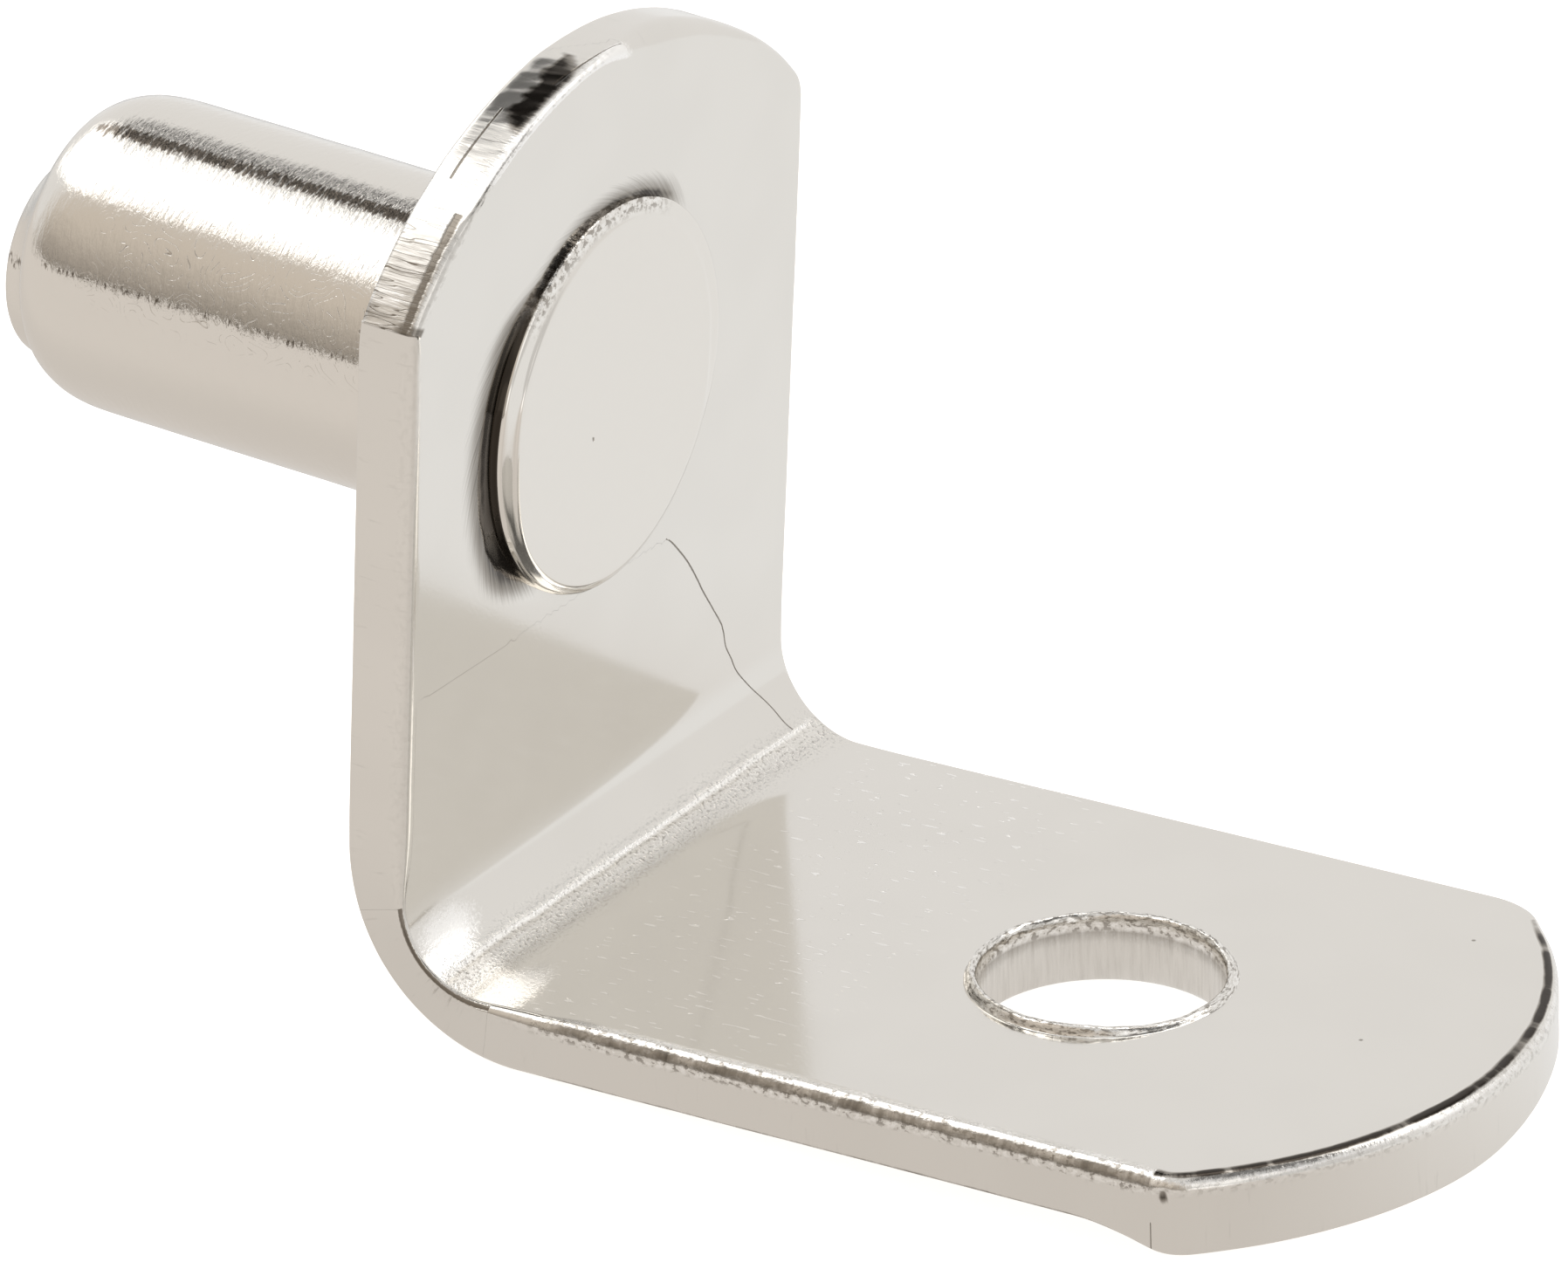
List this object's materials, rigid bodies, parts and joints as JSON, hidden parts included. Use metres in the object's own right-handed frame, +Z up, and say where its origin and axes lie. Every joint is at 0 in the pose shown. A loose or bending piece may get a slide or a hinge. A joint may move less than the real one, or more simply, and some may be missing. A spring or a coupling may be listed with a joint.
{
  "type": "shelf support pin",
  "caption": "Angled shelf support: a folded metal foot with a screw hole and rounded ends, and a round locating pin riveted through its upright leg.",
  "frame": {"origin": "where the pin's axis meets the outer face of the upright leg, which lies on the cabinet's side", "axes": "-X along the pin into the cabinet's side, +X out along the foot, +Z up, Y across the strip"},
  "size_m": [0.026, 0.0108, 0.0143],
  "materials": {
    "strip_nickel": "bright nickel plate over punched and folded steel strip",
    "pin_nickel": "bright nickel plate over a cold-headed steel pin, with fine marks along it"
  },
  "bodies": {
    "root": {"bracket": "strip_nickel", "pin": "pin_nickel"}
  },
  "joints": []
}
